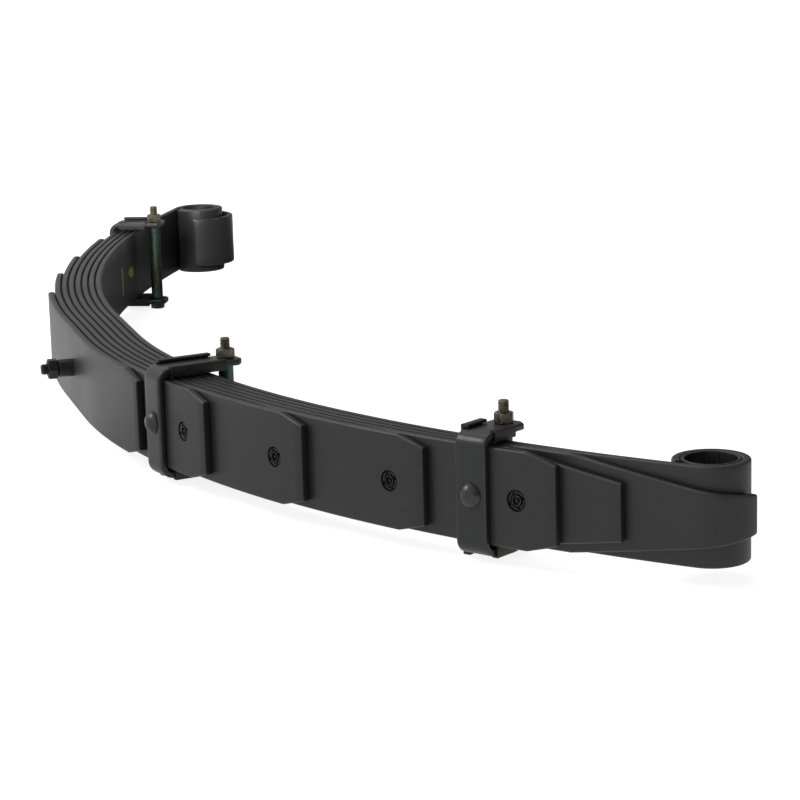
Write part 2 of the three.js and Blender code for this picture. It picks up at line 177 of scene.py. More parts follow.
BLEND_START = {1: row(SEAT, MAIN_Y, MID), -1: row(-SEAT, MAIN_Y, MID)}
EYE_MARGIN = 0.032


def blend_end(arm):
    """The eye is rigid: the bend ends just before it, on the line to its centre."""
    centre = eye_centre(arm)
    end = row(centre.x, centre.y, MID)
    start = BLEND_START[arm["sign"]]
    return end - (end - start).normalized() * EYE_MARGIN


def bend_with_arm(piece, arm):
    blend_end(arm)
    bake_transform(piece)


# ---------------------------------------------------------------- mesh helpers

def smoothstep(value, low, high):
    share = max(0.0, min(1.0, (value - low) / (high - low)))
    return share * share * (3 - 2 * share)


# Painted shade on the cut end faces of the leaves, which face away from the lights.
CUT_END_SHADE = 0.8
SHARP_ANGLE = math.radians(32.0)
SAME_POINT = 1e-6


def make_piece(name, verts, faces, matrix, material, uvs=None, wear=None, shade=None):
    """A mesh piece from millimetre points, shaded smooth up to the sharp angle. A second layer of
    coordinates holds, in u, how far an edge is rubbed and lit as a painted highlight, and in v the
    painted shade in a gap or on a cut end. Points that meet at a seam of the coordinates are joined
    once each face has its own coordinates."""
    shade = shade or [0.0] * len(verts)
    mesh = bpy.data.meshes.new(name)
    mesh.from_pydata([matrix @ Vector(v) for v in verts], [], faces)
    if uvs:
        layer = mesh.uv_layers.new(name="along")
        for loop in mesh.loops:
            layer.data[loop.index].uv = uvs[loop.vertex_index]
    if wear:
        # u: rubbed edge and painted highlight; v: painted shade in gaps and, fixed, on cut ends.
        layer = mesh.uv_layers.new(name="wear")
        for face in mesh.polygons:
            cut_end = face.loop_total > 4
            for i in face.loop_indices:
                vertex = mesh.loops[i].vertex_index
                layer.data[i].uv = (0.0, CUT_END_SHADE) if cut_end else (wear[vertex], shade[vertex])
    tidy = bmesh.new()
    tidy.from_mesh(mesh)
    bmesh.ops.remove_doubles(tidy, verts=tidy.verts, dist=SAME_POINT)
    bmesh.ops.recalc_face_normals(tidy, faces=tidy.faces)
    tidy.to_mesh(mesh)
    tidy.free()
    mesh.shade_smooth()
    mesh.set_sharp_from_angle(angle=SHARP_ANGLE)
    mesh.materials.append(material)
    piece = bpy.data.objects.new(name, mesh)
    bpy.context.collection.objects.link(piece)
    return piece


def cut_with(piece, cutter):
    """Cuts the cutter out of the piece and removes it."""
    step = piece.modifiers.new("cut", "BOOLEAN")
    step.operation = "DIFFERENCE"
    step.solver = "EXACT"
    step.object = cutter
    graph = bpy.context.evaluated_depsgraph_get()
    mesh = bpy.data.meshes.new_from_object(piece.evaluated_get(graph))
    piece.modifiers.clear()
    piece.data = mesh
    mesh.set_sharp_from_angle(angle=SHARP_ANGLE)
    bpy.data.objects.remove(cutter)


def fixed_piece(name, node, part, matrix, material, body, uvs=None, wear=None):
    piece = make_piece(name, part[0], part[1], matrix, material, uvs, wear)
    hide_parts(node)
    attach(piece, body)


def rounded_bar(half_width, half_thickness, radius, columns=6, steps=4):
    """Outline of a bar with rounded edges: (thickness, width, rubbed paint and painted highlight)
    going round once. The last point repeats the first, as the seam of the coordinates round the bar."""
    flat_w = half_width - radius
    flat_t = half_thickness - radius
    points = [(half_thickness, -flat_w + 2 * flat_w * i / columns, 0.0) for i in range(columns + 1)]
    outer_edge = []
    inner_edge = [(-flat_t, half_width, 0.0)]
    for i in range(1, steps + 1):
        turn = math.pi / 2 * i / steps
        out = radius * math.cos(turn)
        over = radius * math.sin(turn)
        wear = math.sin(math.pi * i / steps) if i < steps else 0.0
        outer_edge.append((flat_t + out, flat_w + over, wear))
        inner_edge.append((-flat_t - over, flat_w + out, wear))
    points += outer_edge + inner_edge
    return points + [(-t, -w, wear) for t, w, wear in points[1:]]


def loft(sections, outline_of):
    """Joins cross-sections (point, normal, width axis, half width, inset, along) to a closed bar."""
    verts = []
    uvs = []
    edge_wear_and_highlight = []
    for point, normal, across, half_width, inset, along in sections:
        ring = outline_of(half_width, inset)
        count = len(ring)
        run = 0.0
        before = None
        for thickness, width, wear in ring:
            verts.append(point + normal * thickness + across * width)
            if before:
                run += math.hypot(thickness - before[0], width - before[1])
            before = (thickness, width)
            uvs.append((along * MILLIMETRE, run * MILLIMETRE))
            edge_wear_and_highlight.append(wear)
    faces = []
    for i in range(len(sections) - 1):
        for j in range(count):
            a = i * count + j
            b = i * count + (j + 1) % count
            faces.append((a, b, b + count, a + count))
    last = (len(sections) - 1) * count
    faces.append(tuple(range(count))[::-1])
    faces.append(tuple(range(last, last + count)))
    return verts, faces, uvs, edge_wear_and_highlight


def turned(profile, segments=48, closed=False):
    """A profile of (radius, height) points turned about +Z. Points at radius 0 become poles."""
    verts = []
    rings = []
    for radius, height in profile:
        if radius < 1e-6:
            rings.append([len(verts)])
            verts.append((0.0, 0.0, height))
            continue
        rings.append(list(range(len(verts), len(verts) + segments)))
        for j in range(segments):
            turn = 2 * math.pi * j / segments
            verts.append((radius * math.cos(turn), radius * math.sin(turn), height))
    faces = []
    pairs = list(zip(rings, rings[1:]))
    if closed:
        pairs.append((rings[-1], rings[0]))
    for low, high in pairs:
        for j in range(segments):
            k = (j + 1) % segments
            if len(low) == 1:
                faces.append((low[0], high[k], high[j]))
            elif len(high) == 1:
                faces.append((low[j], low[k], high[0]))
            else:
                faces.append((low[j], low[k], high[k], high[j]))
    return verts, faces


def joined(*parts):
    """Several (verts, faces) shells as one."""
    verts = []
    faces = []
    for part_verts, part_faces in parts:
        base = len(verts)
        verts.extend(part_verts)
        faces.extend(tuple(base + i for i in face) for face in part_faces)
    return verts, faces


HEX_FACE_SHARE = 0.94
HEX_CHAMFER = math.tan(math.radians(30))
BORE_LIP = 0.6


def hex_body(across, low, high, chamfer_low, chamfer_high, bore=0.0):
    """A hexagon along +Z whose corners are turned off at 30 degrees, as on a real nut."""
    per_side = 10
    columns = 6 * per_side
    face_radius = across / 2 * HEX_FACE_SHARE
    rings = [[], [], [], []]
    for j in range(columns):
        turn = 2 * math.pi * j / columns
        from_middle = (turn + math.pi / 6) % (math.pi / 3) - math.pi / 6
        radius = across / 2 / math.cos(from_middle)
        drop = (radius - face_radius) * HEX_CHAMFER
        ray = (math.cos(turn), math.sin(turn))
        heights = (low, low + (drop if chamfer_low else 0.0), high - (drop if chamfer_high else 0.0),
                   high)
        radii = (face_radius if chamfer_low else radius, radius, radius,
                 face_radius if chamfer_high else radius)
        for ring, height, r in zip(rings, heights, radii):
            ring.append((ray[0] * r, ray[1] * r, height))
    if not chamfer_low:
        rings = rings[1:]
    if not chamfer_high:
        rings = rings[:-1]
    if bore:
        wide = bore + BORE_LIP
        for radius, height in ((wide, high), (bore, high - BORE_LIP), (bore, low + BORE_LIP),
                               (wide, low)):
            rings.append([(radius * math.cos(2 * math.pi * j / columns),
                           radius * math.sin(2 * math.pi * j / columns), height)
                          for j in range(columns)])
    verts = [v for ring in rings for v in ring]
    faces = []
    spans = len(rings) if bore else len(rings) - 1
    for i in range(spans):
        a = i * columns
        b = ((i + 1) % len(rings)) * columns
        for j in range(columns):
            k = (j + 1) % columns
            faces.append((a + j, a + k, b + k, b + j))
    if not bore:
        faces.append(tuple(range(columns)))
        faces.append(tuple(range(len(verts) - columns, len(verts))))
    return verts, faces


THREAD_DEPTH = 0.54
CREST_DROP = 0.15
CREST = (0.38, 0.62)
TIP_LAND = 0.2
TIP_CHAMFER = 0.6


def threaded_rod(radius, low, high, pitch, threaded_from):
    """A rod along +Z with a plain shank, thread grooves above threaded_from and a chamfered tip."""
    depth = pitch * THREAD_DEPTH
    profile = [(0.0, low), (radius, low), (radius, threaded_from)]
    height = threaded_from + pitch / 2
    while height < high - pitch:
        profile.append((radius - depth, height))
        for share in CREST:
            profile.append((radius - depth * CREST_DROP, height + pitch * share))
        height += pitch
    profile.append((radius - depth, height))
    profile.append((radius - depth, high - TIP_LAND))
    profile.append((radius - depth - TIP_CHAMFER, high))
    profile.append((0.0, high))
    return turned(profile, segments=36)


# ---------------------------------------------------------------- materials

def add_node(tree, kind, inputs, **settings):
    """A node whose inputs are linked where a socket is given, and set where a value is given."""
    made = tree.nodes.new(kind)
    for key, value in settings.items():
        setattr(made, key, value)
    for name, value in inputs.items():
        if isinstance(value, bpy.types.NodeSocket):
            tree.links.new(value, made.inputs[name])
        else:
            made.inputs[name].default_value = value
    return made


def map_range(tree, value, low, high, to_low, to_high, **settings):
    inputs = {"Value": value, "From Min": low, "From Max": high, "To Min": to_low, "To Max": to_high}
    return add_node(tree, "ShaderNodeMapRange", inputs, **settings).outputs["Result"]


def colour_ramp(tree, source, stops):
    made = add_node(tree, "ShaderNodeValToRGB", {"Fac": source})
    elements = made.color_ramp.elements
    while len(elements) < len(stops):
        elements.new(0.5)
    for element, (position, colour) in zip(elements, stops):
        element.position = position
        element.color = (*colour, 1.0)
    return made.outputs["Color"]


class Nodes:
    """A small builder for one Principled material."""

    def __init__(self, name, metallic=0.0, specular=0.5, coat=0.0, coat_roughness=0.2):
        self.material = bpy.data.materials.new(name)
        self.material.use_nodes = True
        self.tree = self.material.node_tree
        self.shader = self.tree.nodes["Principled BSDF"]
        self.shader.inputs["Metallic"].default_value = metallic
        self.shader.inputs["Specular IOR Level"].default_value = specular
        self.shader.inputs["Coat Weight"].default_value = coat
        self.shader.inputs["Coat Roughness"].default_value = coat_roughness
        self.place = self.add("ShaderNodeTexCoord", {}).outputs["Object"]

    def add(self, kind, inputs, **settings):
        return add_node(self.tree, kind, inputs, **settings)

    def stretched(self, scale, source=None):
        inputs = {"Vector": source or self.place, "Scale": scale}
        return self.add("ShaderNodeMapping", inputs).outputs["Vector"]

    def along(self, stretch):
        """Coordinates that run along a leaf, stretched by (along, across)."""
        uv = self.add("ShaderNodeUVMap", {}, uv_map="along").outputs["UV"]
        return self.stretched((*stretch, 1.0), uv)

    def noise(self, scale, detail=4.0, rough=0.55, source=None, distortion=0.0):
        inputs = {"Scale": scale, "Detail": detail, "Roughness": rough, "Distortion": distortion,
                  "Vector": source or self.place}
        return self.add("ShaderNodeTexNoise", inputs).outputs["Fac"]

    def ramp(self, source, stops):
        return colour_ramp(self.tree, source, stops)

    def range(self, source, low, high, to_low, to_high):
        return map_range(self.tree, source, low, high, to_low, to_high)

    def mix(self, factor, first, second):
        first, second = [(*c, 1.0) if isinstance(c, tuple) else c for c in (first, second)]
        inputs = {0: factor, 6: first, 7: second}
        return self.add("ShaderNodeMix", inputs, data_type="RGBA").outputs[2]

    def maths(self, operation, first, second):
        return self.add("ShaderNodeMath", {0: first, 1: second}, operation=operation).outputs[0]

    def wear(self):
        """How far an edge is rubbed and lit as a painted highlight, and the painted shade of a gap or
        cut end.
        """
        uv = self.add("ShaderNodeUVMap", {}, uv_map="wear").outputs["UV"]
        split = self.add("ShaderNodeSeparateXYZ", {"Vector": uv})
        return split.outputs["X"], split.outputs["Y"]

    def finish(self, colour, roughness, bumps):
        """Bumps are (height, strength, distance), each laid over the one before."""
        normal = {}
        for height, strength, distance in bumps:
            inputs = {"Height": height, "Strength": strength, "Distance": distance, **normal}
            normal = {"Normal": self.add("ShaderNodeBump", inputs).outputs["Normal"]}
        ends = {"Base Color": colour, "Roughness": roughness, **normal}
        for name, socket in ends.items():
            self.tree.links.new(socket, self.shader.inputs[name])
        return self.material


def leaf_paint():
    """Satin charcoal paint over rolled bar: a fine peel, faint rolling streaks, edges lighter as rubbed
    paint and a painted highlight, and a near-black painted shade in the gaps and on cut ends.
    """
    n = Nodes("leaf_paint", specular=0.5)
    cloud = n.noise(9.0, 5.0)
    streak = n.noise(1.0, 3.0, source=n.along((14.0, 420.0)))
    speck = n.noise(1500.0, 2.0, 0.6)
    base = n.ramp(cloud, [(0.32, (0.0195, 0.0195, 0.0208)), (0.68, (0.0255, 0.0253, 0.0255))])
    base = n.mix(n.range(streak, 0.42, 0.75, 0.0, 0.35), base, (0.032, 0.0315, 0.0315))
    base = n.mix(n.range(speck, 0.58, 0.75, 0.0, 0.4), base, (0.042, 0.0415, 0.0415))
    wear, painted_shade = n.wear()
    # Rounded edges lighter: partly rubbed paint, partly a painted highlight.
    rubbed_and_highlight = n.maths("MULTIPLY", wear, n.range(n.noise(60.0, 4.0), 0.38, 0.62, 0.25, 0.85))
    base = n.mix(rubbed_and_highlight, base, (0.075, 0.073, 0.07))
    # Painted shade, near black, on the edges in a gap between leaves and on cut ends.
    base = n.mix(painted_shade, base, (0.0015, 0.0015, 0.0015))
    rough = n.range(n.maths("ADD", cloud, n.range(streak, 0.3, 0.7, -0.08, 0.08)), 0.3, 0.75, 0.36, 0.46)
    rough = n.maths("ADD", rough, n.range(painted_shade, 0.0, 1.0, 0.0, 0.5))
    return n.finish(base, rough, [(n.noise(700.0, 3.0), 0.16, 0.0003), (streak, 0.1, 0.0002)])


def strap_paint():
    """The same paint on bent flat bar, a little smoother and bluer where it was drawn."""
    n = Nodes("strap_paint", specular=0.5)
    cloud = n.noise(26.0, 4.0)
    speck = n.noise(1100.0, 2.0, 0.6)
    base = n.ramp(cloud, [(0.3, (0.0175, 0.018, 0.02)), (0.7, (0.0225, 0.0228, 0.0245))])
    base = n.mix(n.range(speck, 0.6, 0.76, 0.0, 0.35), base, (0.045, 0.0445, 0.045))
    # Rounded edges lighter: partly rubbed paint, partly a painted highlight.
    rubbed_and_highlight = n.maths("MULTIPLY", n.wear()[0], n.range(n.noise(150.0, 4.0), 0.35, 0.65, 0.15, 0.7))
    base = n.mix(rubbed_and_highlight, base, (0.075, 0.075, 0.079))
    return n.finish(base, n.range(cloud, 0.3, 0.7, 0.27, 0.38), [(n.noise(520.0, 3.0), 0.18, 0.0003)])


def rivet_paint():
    """Forged head under thin blue-grey paint."""
    n = Nodes("rivet_paint", metallic=0.25, specular=0.6, coat=0.25, coat_roughness=0.22)
    cloud = n.noise(180.0, 4.0)
    base = n.ramp(cloud, [(0.3, (0.024, 0.0245, 0.027)), (0.7, (0.04, 0.0405, 0.043))])
    return n.finish(base, n.range(cloud, 0.3, 0.7, 0.26, 0.38),
                    [(n.noise(260.0, 2.0), 0.2, 0.0005), (n.noise(1400.0, 2.0), 0.15, 0.0002)])


def liner_plastic():
    """Brownish black moulding with a fine grain and dusty, handled corners."""
    n = Nodes("liner_plastic", specular=0.45)
    cloud = n.noise(70.0, 5.0)
    base = n.ramp(cloud, [(0.35, (0.014, 0.0132, 0.0125)), (0.72, (0.03, 0.0265, 0.0235))])
    dust = n.range(n.noise(420.0, 4.0, 0.7), 0.55, 0.72, 0.0, 0.45)
    base = n.mix(dust, base, (0.055, 0.046, 0.038))
    return n.finish(base, n.range(cloud, 0.3, 0.7, 0.42, 0.58), [(n.noise(1300.0, 3.0), 0.3, 0.0003)])


def button_plastic():
    """Glossy black moulding."""
    n = Nodes("button_plastic", specular=0.5)
    cloud = n.noise(240.0, 3.0)
    base = n.ramp(cloud, [(0.3, (0.006, 0.006, 0.0065)), (0.7, (0.013, 0.0125, 0.012))])
    return n.finish(base, n.range(cloud, 0.3, 0.7, 0.16, 0.3), [(n.noise(900.0, 2.0), 0.12, 0.0002)])


def sleeve_steel():
    """Dark oiled strip with draw marks along the bore."""
    n = Nodes("sleeve_steel", metallic=0.55, specular=0.5)
    drawn = n.noise(1.0, 3.0, source=n.stretched((900.0, 900.0, 40.0)))
    cloud = n.noise(90.0, 4.0)
    base = n.ramp(cloud, [(0.3, (0.03, 0.029, 0.029)), (0.7, (0.06, 0.058, 0.056))])
    base = n.mix(n.range(drawn, 0.45, 0.7, 0.0, 0.5), base, (0.09, 0.087, 0.084))
    return n.finish(base, n.range(drawn, 0.3, 0.7, 0.34, 0.5), [(drawn, 0.12, 0.0002)])


def bolt_paint():
    """Black oxide fastener with a faint oily sheen."""
    n = Nodes("bolt_black", metallic=0.35, specular=0.5)
    cloud = n.noise(300.0, 4.0)
    base = n.ramp(cloud, [(0.3, (0.012, 0.012, 0.013)), (0.7, (0.03, 0.03, 0.031))])
    return n.finish(base, n.range(cloud, 0.3, 0.7, 0.34, 0.5), [(n.noise(1200.0, 3.0), 0.25, 0.0003)])


def zinc_fastener(name, tint):
    """Yellow zinc gone olive and grey, with darker stains; the heads below are redder."""
    n = Nodes(name, metallic=0.8, specular=0.5)
    cloud = n.noise(240.0, 5.0, 0.65)
    fine = n.noise(1600.0, 3.0, 0.6)
    base = n.ramp(cloud, [(0.3, (0.045, 0.043, 0.034)), (0.45, tint), (0.58, (0.24, 0.21, 0.155)),
                          (0.72, (0.27, 0.2, 0.16))])
    base = n.mix(n.range(fine, 0.55, 0.72, 0.0, 0.55), base, (0.45, 0.41, 0.34))
    height = n.add("ShaderNodeSeparateXYZ", {"Vector": n.place}).outputs["Z"]
    low = n.range(height, ORIGIN.z - 0.002, ORIGIN.z + 0.002, 0.75, 0.0)
    base = n.mix(low, base, (0.16, 0.07, 0.055))
    return n.finish(base, n.range(cloud, 0.3, 0.7, 0.26, 0.46), [(fine, 0.25, 0.0002)])


def zinc_tube():
    """Chromate that shifts between olive, teal, blue and purple brown along and round the tube."""
    n = Nodes("zinc_tube", metallic=0.9, specular=0.5)
    film = n.noise(1.0, 3.0, 0.5, source=n.stretched((190.0, 190.0, 22.0)), distortion=0.4)
    base = n.ramp(film, [(0.3, (0.05, 0.03, 0.028)), (0.41, (0.07, 0.062, 0.034)),
                         (0.52, (0.07, 0.13, 0.095)), (0.61, (0.06, 0.095, 0.115)),
                         (0.72, (0.12, 0.07, 0.08))])
    return n.finish(base, n.range(n.noise(500.0, 3.0), 0.3, 0.7, 0.24, 0.4),
                    [(n.noise(900.0, 2.0), 0.1, 0.0002)])


def marker_paint():
    """Yellow paint pen, thin over the dark paint."""
    n = Nodes("marker_paint", specular=0.4)
    thin = n.noise(260.0, 4.0)
    base = n.ramp(thin, [(0.3, (0.3, 0.27, 0.02)), (0.6, (0.52, 0.47, 0.045))])
    return n.finish(base, n.range(thin, 0.3, 0.7, 0.5, 0.65), [(n.noise(900.0, 3.0), 0.2, 0.0002)])


LEAF_PAINT = leaf_paint()
STRAP_PAINT = strap_paint()
RIVET_PAINT = rivet_paint()
LINER = liner_plastic()
BUTTON = button_plastic()
SLEEVE = sleeve_steel()
BOLT_BLACK = bolt_paint()
ZINC_NUT = zinc_fastener("zinc_nut", (0.16, 0.148, 0.105))
ZINC_BOLT = zinc_fastener("zinc_bolt", (0.16, 0.14, 0.108))
ZINC_TUBE = zinc_tube()
MARKER = marker_paint()


# ---------------------------------------------------------------- leaves

UP = Vector((0.0, 0.0, 1.0))
STATION_STEP = 9.0
CREASE_MARGIN = 2.0
CREASE_SPREAD = 0.5
TIP_MARGIN = 3.0
ROLL_STEP = 5.0
WRAP_SETTLES = 90.0
INSET_SHARE = 0.9

# How a cut end is eased: (distance back from the end, inset of the outline).
END_ROUND = ((0.7, 0.0), (0.25, 0.2), (0.0, 0.7))


def station_list(tip, creases):
    """Stations from the centre to the tip, closer together round a crease and the rounded end."""
    count = max(1, round(tip / STATION_STEP))
    marks = [tip * i / count for i in range(count)]
    marks = [s for s in marks
             if s < tip - TIP_MARGIN and all(abs(s - c) > CREASE_MARGIN for c in creases)]
    for crease in creases:
        marks.extend((crease - CREASE_SPREAD, crease, crease + CREASE_SPREAD))
    return sorted(marks)


def leaf_section(arm, station, offset, half_width, inset):
    point, normal = frame_at(arm, station)
    middle = point + normal * offset + UP * MID
    return middle, normal, UP, half_width, inset, arm["sign"] * station


def taper(start, length, end_width):
    def width_at(station):
        share = max(0.0, min(1.0, (station - start) / length))
        return LEAF_WIDTH + (end_width - LEAF_WIDTH) * share
    return width_at


def tip_sections(arm, tip, offset, width_at):
    return [leaf_section(arm, tip - back, offset, width_at(tip) / 2, inset)
            for back, inset in END_ROUND]


def plain_sections(arm, leaf, tip):
    tapered = leaf == TAPERED_LEAF
    length = TAPER_LENGTH if tapered else CLIP_LENGTH
    width = TAPER_TIP_WIDTH if tapered else LEAF_WIDTH - 2 * CLIP_DEPTH
    width_at = taper(tip - length, length, width)
    offset = leaf_offset(leaf)
    sections = [leaf_section(arm, s, offset, width_at(s) / 2, 0.0)
                for s in station_list(tip, [tip - length])]
    return sections + tip_sections(arm, tip, offset, width_at)


def roll_section(arm, turn, radius, half_width, inset):
    centre = eye_centre(arm)
    _, start = frame_at(arm, arm["length"])
    normal = Matrix.Rotation(math.radians(arm["sign"] * turn), 3, "Z") @ start
    station = arm["length"] + math.radians(turn) * radius
    return centre + normal * radius + UP * MID, normal, UP, half_width, inset, arm["sign"] * station


def rolled_sections(arm, leaf, angle, radius_at, width_at, creases):
    offset = leaf_offset(leaf)
    length = arm["length"]
    close = radius_at(0.0)
    width_on_roll = lambda turn: width_at(length + math.radians(turn) * close)
    sections = [leaf_section(arm, s, offset, width_at(s) / 2, 0.0)
                for s in station_list(length, [c for c in creases if c < length])]
    steps = math.ceil(angle / ROLL_STEP)
    turns = [angle * i / steps for i in range(steps)]
    creases_on_roll = [math.degrees((c - length) / close) for c in creases if c > length]
    turns += [turn for turn in creases_on_roll if turn < angle]
    sections += [roll_section(arm, t, radius_at(t), width_on_roll(t) / 2, 0.0) for t in sorted(turns)]
    for back, inset in END_ROUND:
        turn = angle - math.degrees(back / radius_at(angle))
        sections.append(roll_section(arm, turn, radius_at(turn), width_on_roll(turn) / 2, inset))
    return sections


def wrapper_sections(arm, wrap):
    close = EYE_RADIUS + HALF + LEAF_GAP
    limit = min(wrap["angle"], WRAP_SETTLES)
    radius_at = lambda turn: close + wrap["spread"] * smoothstep(turn, 0.0, limit)
    width_at = taper(wrap["start"], wrap["length"], wrap["end_width"])
    creases = [wrap["start"], wrap["start"] + wrap["length"]]
    return rolled_sections(arm, LEAF_COUNT - 1, wrap["angle"], radius_at, width_at, creases)


def main_sections(arm):
    return rolled_sections(arm, LEAF_COUNT, EYE_ROLL, lambda turn: EYE_RADIUS - HALF,
                           lambda station: LEAF_WIDTH, [])


# Painted shade in the gaps starts and is full at these distances from the middle of a leaf's thickness.
GAP_SHADE = (1.7, 2.5)


def leaf_outline(half_width, inset):
    radius = LEAF_EDGE_RADIUS - inset * INSET_SHARE
    return rounded_bar(half_width - inset, HALF - inset, radius, columns=8)


def leaf_name(leaf):
    if leaf == LEAF_COUNT:
        return "leaf_8_main"
    return "leaf_7_wrapper" if leaf == LEAF_COUNT - 1 else f"leaf_{leaf}"


def round_cutter(matrix, radius, low, high):
    """A rod along the local +X, for a hole across a leaf."""
    verts, faces = turned([(0.0, low), (radius, low), (radius, high), (0.0, high)], segments=64)
    turn = Matrix.Rotation(math.pi / 2, 4, "Y")
    return make_piece("cutter", [turn @ Vector(v) for v in verts], faces, matrix, LEAF_PAINT,
                      uvs=[(0.0, 0.0)] * len(verts), wear=[0.0] * len(verts))


def covered_until(leaf, tips, wrap):
    """Where the next outer leaf stops covering this one's whole width."""
    outer = leaf - 1
    if outer == LEAF_COUNT - 1:
        return wrap["start"]
    return tips[outer - 1] - (TAPER_LENGTH if outer == TAPERED_LEAF else CLIP_LENGTH)


def gap_shade(leaf, tips, wrap, sections):
    """Painted shade on the rounded edges wherever another leaf lies against this one."""
    shade = []
    limit = covered_until(leaf, tips, wrap) if leaf > 1 else 0.0
    for section in sections:
        outer_cover = 1.0 - smoothstep(abs(section[-1]), limit - 2 * CLIP_LENGTH, limit)
        inner_cover = 1.0 if leaf < LEAF_COUNT else 0.0
        for thickness, _, _ in leaf_outline(MID, 0.0):
            reach = abs(thickness)
            depth = smoothstep(reach, *GAP_SHADE) if reach < HALF - MILLIMETRE else 0.0
            shade.append(depth * (outer_cover if thickness > 0 else inner_cover))
    return shade


def make_leaf(leaf, arm, tips, wrap, side):
    if leaf == LEAF_COUNT:
        sections = main_sections(arm)
    elif leaf == LEAF_COUNT - 1:
        sections = wrapper_sections(arm, wrap)
    else:
        sections = plain_sections(arm, leaf, tips[leaf - 1])
    verts, faces, uvs, wear = loft(sections, leaf_outline)
    shade = gap_shade(leaf, tips, wrap, sections)
    piece = make_piece(f"{leaf_name(leaf)}_{side}_half", verts, faces, TO_ROW, LEAF_PAINT, uvs, wear,
                       shade)
    if leaf in BUTTON_LEAVES:
        matrix = station_matrix(arm, tips[leaf - 1] - BUTTON_INSET)
        middle = leaf_offset(leaf)
        cutter = round_cutter(matrix @ Matrix.Translation((0, 0, MID)), BUTTON_RADIUS + FIT,
                              middle - LEAF_THICKNESS, middle + LEAF_THICKNESS)
        cut_with(piece, cutter)
    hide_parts(leaf_name(leaf))
    bend_with_arm(piece, arm)


ARMS = (("rear", REAR, REAR_TIPS, REAR_WRAP), ("front", FRONT, FRONT_TIPS, FRONT_WRAP))
for side, arm, tips, wrap in ARMS:
    for leaf in range(1, LEAF_COUNT + 1):
        make_leaf(leaf, arm, tips, wrap, side)


# ---------------------------------------------------------------- tip buttons

# Each raised band is (start, full, full, end) by radius; the face is measured from its well.
WELL_DEPTH = 1.9
CLIP_BAND = (4.6, 5.2, 6.5, 6.85)
CLIP_HEIGHT = 1.5
RING_BAND = (2.7, 3.2, 3.9, 4.4)
RING_HEIGHT = 1.9
NUB_EDGE = (0.7, 1.7)
NUB_HEIGHT = 1.7
SLOT_TURNS = [math.radians(a) for a in (25.0, 115.0, 200.0, 295.0)]
SLOT_EDGE = (0.13, 0.22)
SLOT_SHARE = 0.85
BUTTON_SET_BACK = 0.35
BUTTON_FOOT_GAP = 0.4
BUTTON_RINGS = [0.0, 0.5, 0.9, 1.3, 1.7, 2.3, 2.7, 2.95, 3.2, 3.55, 3.9, 4.15, 4.4, 4.7, 5.0, 5.3,
                5.9, 6.5, 6.7, 6.85, 7.5]
BUTTON_COLUMNS = 96


def raised_band(radius, band):
    return smoothstep(radius, *band[:2]) * (1.0 - smoothstep(radius, *band[2:]))


def button_height(radius, turn):
    """The moulded face: a rim of clips split by slots, a raised inner ring, a well and a nub."""
    slot = min(abs((turn - s + math.pi) % (2 * math.pi) - math.pi) for s in SLOT_TURNS)
    open_slot = 1.0 - smoothstep(slot, *SLOT_EDGE)
    rim = CLIP_HEIGHT * raised_band(radius, CLIP_BAND) * (1.0 - SLOT_SHARE * open_slot)
    ring = RING_HEIGHT * raised_band(radius, RING_BAND)
    nub = NUB_HEIGHT * (1.0 - smoothstep(radius, *NUB_EDGE))
    return -WELL_DEPTH + max(rim, ring, nub)


def make_button(leaf, side, arm, station):
    verts = [(0.0, 0.0, button_height(0.0, 0.0))]
    for radius in BUTTON_RINGS[1:]:
        for j in range(BUTTON_COLUMNS):
            turn = 2 * math.pi * j / BUTTON_COLUMNS
            verts.append((radius * math.cos(turn), radius * math.sin(turn),
                          button_height(radius, turn)))
    base = len(verts)
    depth = LEAF_THICKNESS - BUTTON_FOOT_GAP
    for j in range(BUTTON_COLUMNS):
        turn = 2 * math.pi * j / BUTTON_COLUMNS
        verts.append((BUTTON_RADIUS * math.cos(turn), BUTTON_RADIUS * math.sin(turn), -depth))
    faces = []
    for j in range(BUTTON_COLUMNS):
        k = (j + 1) % BUTTON_COLUMNS
        faces.append((0, 1 + j, 1 + k))
        for i in range(len(BUTTON_RINGS) - 2):
            a = 1 + i * BUTTON_COLUMNS
            b = a + BUTTON_COLUMNS
            faces.append((a + j, b + j, b + k, a + k))
        outer = base - BUTTON_COLUMNS
        faces.append((outer + j, base + j, base + k, outer + k))
    faces.append(tuple(range(base, base + BUTTON_COLUMNS)))
    seat = Matrix.Translation((leaf_offset(leaf) + HALF - BUTTON_SET_BACK, 0, MID))
    matrix = station_matrix(arm, station) @ seat @ Matrix.Rotation(math.pi / 2, 4, "Y")
    piece = make_piece(f"button_{leaf}_{side}", verts, faces, matrix, BUTTON)
    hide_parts(f"tip_button_{leaf}_{side}")
    bend_with_arm(piece, arm)


for side, arm, tips, wrap in ARMS:
    for leaf in BUTTON_LEAVES:
        make_button(leaf, side, arm, tips[leaf - 1] - BUTTON_INSET)


# ---------------------------------------------------------------- eye sleeves

SLEEVE_EASE = 0.45
SLEEVE_STEPS = 108


